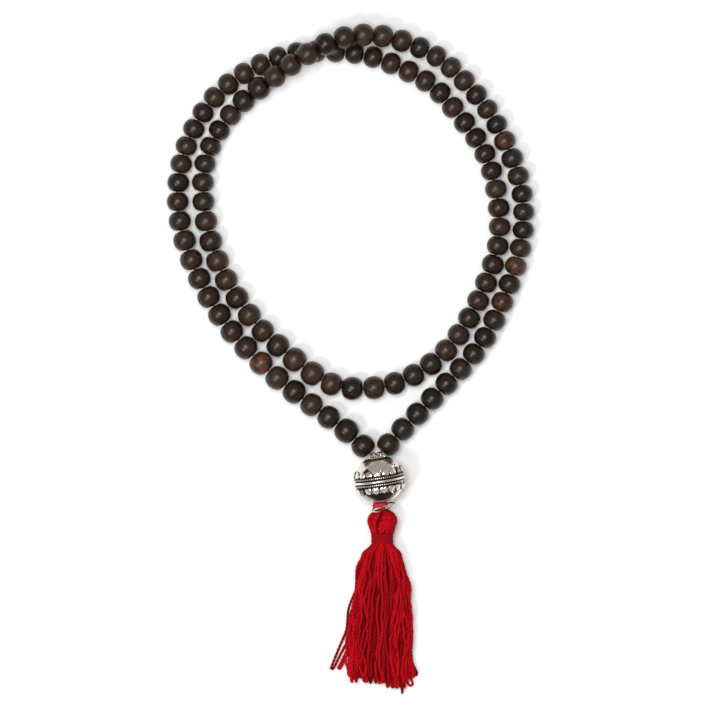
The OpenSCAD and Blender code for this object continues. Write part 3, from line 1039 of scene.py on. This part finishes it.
# Yarns that lie apart from the others at the hem and at the left of the skirt, in millimetres
STRAYS = [
    [
        (3.5, -85, 4), (0.8, -91, 3.6), (-0.8, -95.5, 3), (-1.2, -100, 2.2), (-1.8, -104, 1.4), (-4.5, -110.5, 0.8),
        (-7.2, -117.2, 0.6), (-7.3, -118.1, 0.6), (-6.4, -117.9, 0.6), (-4, -113, 0.8), (0.2, -105, 1.4), (3, -99, 2.4),
    ],
    [
        (2, -100, 2.8), (0.6, -106, 2), (-1.4, -111, 1.2), (-4.2, -116.8, 0.7),
        (-4.8, -117.9, 0.6), (-3.7, -117.8, 0.6), (-1.2, -112.5, 1), (2.4, -105, 2),
    ],
    [
        (21, -105, 3), (22.2, -112, 1.8), (23.8, -116.6, 1), (25.2, -119.6, 0.6),
        (24.8, -120.6, 0.6), (23.8, -120, 0.6), (22.4, -116, 1), (20.5, -110, 2),
    ],
    [
        (20.5, -108, 3), (21.2, -115, 1.6), (22.5, -121, 0.7), (23.6, -123.8, 0.6),
        (22.8, -124.6, 0.6), (21.8, -123.6, 0.6), (20.5, -118, 1), (19, -112, 2),
    ],
    [(4.2, -77.5, 5.5), (2.6, -80.8, 5.2), (2.2, -83.5, 5), (2.8, -87, 4.8), (3.6, -92, 4.4)],
]


def wander(seed, amount, wave):
    """A slow random sway along a yarn."""
    r = random.Random(seed)
    terms = [
        (amount * r.uniform(0.5, 1), 2 * math.pi / (wave * r.uniform(0.6, 1.6)), r.uniform(0, 6.28))
        for _ in range(3)
    ]
    return lambda s: sum(a * math.sin(w * s + f) for a, w, f in terms) / 2


def skirt_yarn(angle, depth, length, seed, clump, drift):
    """Points down the skirt for a yarn at an angle round it and a depth in it, in metres.
    Yarns of one clump sway together, and drift turns a yarn across its neighbours on its way down."""
    together, alone = wander(clump, 0.6, 26), wander(seed, 0.65, 22)
    rise, fine = wander(seed + 5000, 0.8, 13), wander(seed + 9000, 0.22, 6)
    points = []
    for s in np.arange(-0.6, length, 2.0):
        d = max(0.0, min(s, SKIRT_LENGTH))
        mid, half, low, high = (np.interp(d, SKIRT[:, 0], SKIRT[:, c]) for c in range(1, 5))
        free = min(1.0, max(0.0, s) / 14)
        round_it = angle + drift * free * d / 55
        sway = free * (together(s) + alone(s)) + min(1, free * 2) * fine(s)
        x = mid + (half - 0.75) * depth * math.cos(round_it) + sway
        z = (low + high) / 2 + ((high - low) / 2 - 0.5) * depth * math.sin(round_it) + free * rise(s)
        points.append(np.array([x * MM, NECK_END - s * MM, max(YARN_REST, z) * MM]))
    return points


def looped(down, up, seed):
    """Joins two yarns at the hem with a rounded end."""
    a, b = down[-1], up[-1]
    low = min(a[1], b[1]) - random.Random(seed).uniform(0.8, 1.5) * MM
    middle, reach = (a + b) / 2, b - a
    apart = max(1e-6, np.linalg.norm(reach[[0, 2]]))
    half = reach[0] / 2 * min(1.5, max(1.0, 0.9 * MM / apart))
    left = np.array([middle[0] - half, a[1], a[2]])
    right = np.array([middle[0] + half, b[1], b[2]])
    return [*down[:-1], left, np.array([middle[0], low, middle[2]]), right, *up[-2::-1]]


def tassel_skirt():
    """Yarns in four layers from the outside in. Each goes down the skirt and comes back up beside itself."""
    r = random.Random(7)
    yarns = []
    for depth, count in ((1.0, 24), (0.82, 24), (0.6, 18), (0.34, 9)):
        for k in range(count):
            angle = 2 * math.pi * (k + r.uniform(-0.4, 0.4)) / count
            yarns.append((angle, depth * r.uniform(0.94, 1.05), 1.9 / count * math.pi))
    paths, tones_and_shade = [], []
    for n, (angle, depth, beside) in enumerate(yarns):
        clump = 700 + round(angle * 2.4)
        drift = random.Random(clump).uniform(-0.12, 0.16) + r.uniform(-0.26, 0.26)
        second = angle + beside * r.uniform(0.4, 1.0)
        foot_x = 11.5 + 12.3 * depth * math.cos(angle + drift)
        hem = float(np.interp(foot_x, HEM[:, 0], HEM[:, 1])) - 1.0
        length = hem + random.Random(clump + 60).uniform(-0.9, 0.6) + r.uniform(-3.0, 0.6)
        down = skirt_yarn(angle, depth, length, n, clump, drift)
        inner, back = depth * r.uniform(0.86, 1.02), length + r.uniform(-0.4, 0.4)
        up = skirt_yarn(second, inner, back, n + 400, clump, drift + r.uniform(-0.12, 0.12))
        paths.append(looped(down, up, n))
        # Painted shade: yarns of the inner layers get a lower tone, the further in the darker.
        tones_and_shade.append(max(0.0, r.uniform(0.45, 1.0) - (1 - min(1, depth)) * 2.4))
    for name, part in (("outer", slice(0, 24)), ("middle", slice(24, 48)), ("inner", slice(48, None))):
        piece = spun(f"tassel_skirt_{name}", paths[part], YARN, step=0.4, pitch=3.2, tones_and_shade=tones_and_shade[part])
        fit(piece, TASSEL_COTTON, "tassel", ["tassel_skirt"] if name == "outer" else [])
    strays = [np.array(points) * MM for points in STRAYS]
    fit(spun("tassel_stray_yarns", strays, 1.1, step=0.38, pitch=3), TASSEL_COTTON, "tassel", [])


# Head outline: distance below its top, and radius, in millimetres
HEAD_SHAPE = np.array([
    (0, 0.4), (0.25, 1.7), (0.8, 2.9), (1.6, 3.7), (2.6, 4.3),
    (3.8, 4.6), (5, 4.5), (6.3, 4.2), (7.6, 3.85), (8.9, 3.6),
])
HEAD_DROP = 8.9
HEAD_TOP = 5.15


def head_point(turn, t, lift=0.0):
    """A point on the head. Turn goes round it, and t runs from its top to the neck."""
    down = HEAD_DROP * (0.35 * t**2 + 0.65 * t)
    out = float(np.interp(down, HEAD_SHAPE[:, 0], HEAD_SHAPE[:, 1])) + lift + 0.12 * math.sin(3 * turn + 1)
    return HEAD + np.array([out * math.cos(turn), HEAD_TOP - down, out * math.sin(turn) * 0.97]) * MM


def head_yarns():
    """Yarns drawn over the head from its top to the binding, with a crease on the upper left."""
    r = random.Random(21)
    paths, thick, tones_and_shade = [], [], []
    main_yarns = 22
    for k in range(main_yarns):
        turn = 2 * math.pi * k / main_yarns
        lean = -0.55 + r.uniform(-0.12, 0.12)
        sunk = k % 3 == 1
        lift = -0.45 if sunk else r.uniform(-0.05, 0.2)
        paths.append([
            head_point(turn + lean * (1 - t) ** 1.3 + 0.04 * math.sin(9 * t + k), t, lift)
            for t in np.linspace(0, 1, 13)
        ])
        thick.append(1.5)
        # Sunk yarns get the darkest tone, as painted shade.
        tones_and_shade.append(0.0 if sunk else r.uniform(0.4, 0.9))
    for k in range(15):
        past_crease = k > 11
        turn = math.radians(30 + k * 9.5) + r.uniform(-0.04, 0.04)
        lean = 0.85 if past_crease else -0.85 + r.uniform(-0.2, 0.1)
        first, last = r.uniform(0.03, 0.16), r.uniform(0.86, 0.99)
        # The crease is left open
        if 9 <= k <= 11:
            continue
        path = []
        for t in np.linspace(first, last, 11):
            share = min(1, max(0, (t - first + 0.04) / (last - first + 0.08)))
            lift = 0.1 + 0.5 * math.sin(math.pi * share)
            path.append(head_point(turn + lean * (0.95 - t) + 0.05 * math.sin(7 * t + k), t, lift))
        paths.append(path)
        thick.append(1.3)
        tones_and_shade.append(r.uniform(0.5, 1))
    return spun("tassel_head_yarns", paths, thick, step=0.4, pitch=4.4, section=SOFT_SECTION, tones_and_shade=tones_and_shade)


def tassel_head():
    """The head's yarns over a core that is painted dark all over as shade."""
    head = head_yarns()
    shape = [(0.3, -4.6), (1.8, -4.3), (3.4, -3.1), (4.2, -1.2), (4.1, 1), (3.5, 2.9), (0.3, 3.3)]
    core = turned("head_core", shape, 32)
    only(core)
    bpy.ops.object.mode_set(mode="EDIT")
    pick(core, "EDGE", lambda e: e.is_boundary)
    bpy.ops.mesh.fill_holes(sides=0)
    bpy.ops.object.mode_set(mode="OBJECT")
    tidy_mesh(core)
    core.data.transform(Matrix.Translation(HEAD) @ Matrix.Rotation(math.pi / 2, 4, "X") @ Matrix.Scale(MM, 4))
    # The core takes the full groove colour and the lowest tone: painted shade under the yarns.
    put_mask(core, "groove_shade", np.ones(len(core.data.vertices)))
    put_mask(core, "yarn_tone_and_shade", np.zeros(len(core.data.vertices)))
    core.data.uv_layers.new(name="strand")
    fit(join([head, core], "tassel_head_yarns"), TASSEL_COTTON, "tassel", ["tassel_head"])


def neck_point(angle, y, out):
    return (NECK_X + out * MM * math.cos(angle), y, NECK_Z + out * MM * math.sin(angle))


def neck_binding():
    """Fine thread wound close round the neck, and a last few turns over it the other way."""
    wound, over = [], []
    turns, edge = 13, 0.18 * MM
    for t in winding(turns, turns * 28):
        share = t / (2 * math.pi * turns)
        y = NECK_TOP - edge - share * (NECK_TOP - NECK_END - 2 * edge) + 0.04 * MM * math.sin(t * 0.5)
        wound.append(neck_point(t, y, 3.93 + 0.1 * math.sin(3.1 * share * math.pi)))
    turns = 3
    for t in winding(turns, 80):
        share = t / (2 * math.pi * turns)
        over.append(neck_point(-t, NECK_END + (0.5 + 2.5 * share) * MM, 4.06))
    binding = spun("tassel_binding", [wound, over], 0.4, step=0.3, pitch=1.6, section=ROUND_SECTION)
    fit(binding, BINDING_COTTON, "tassel", ["tassel_neck"])


set_the_table()
string_beads()
string_cord()
guru_bead()
cord_to_guru()
thread_wrap()
silver_ring()
tassel_link()
tassel_head()
neck_binding()
tassel_skirt()
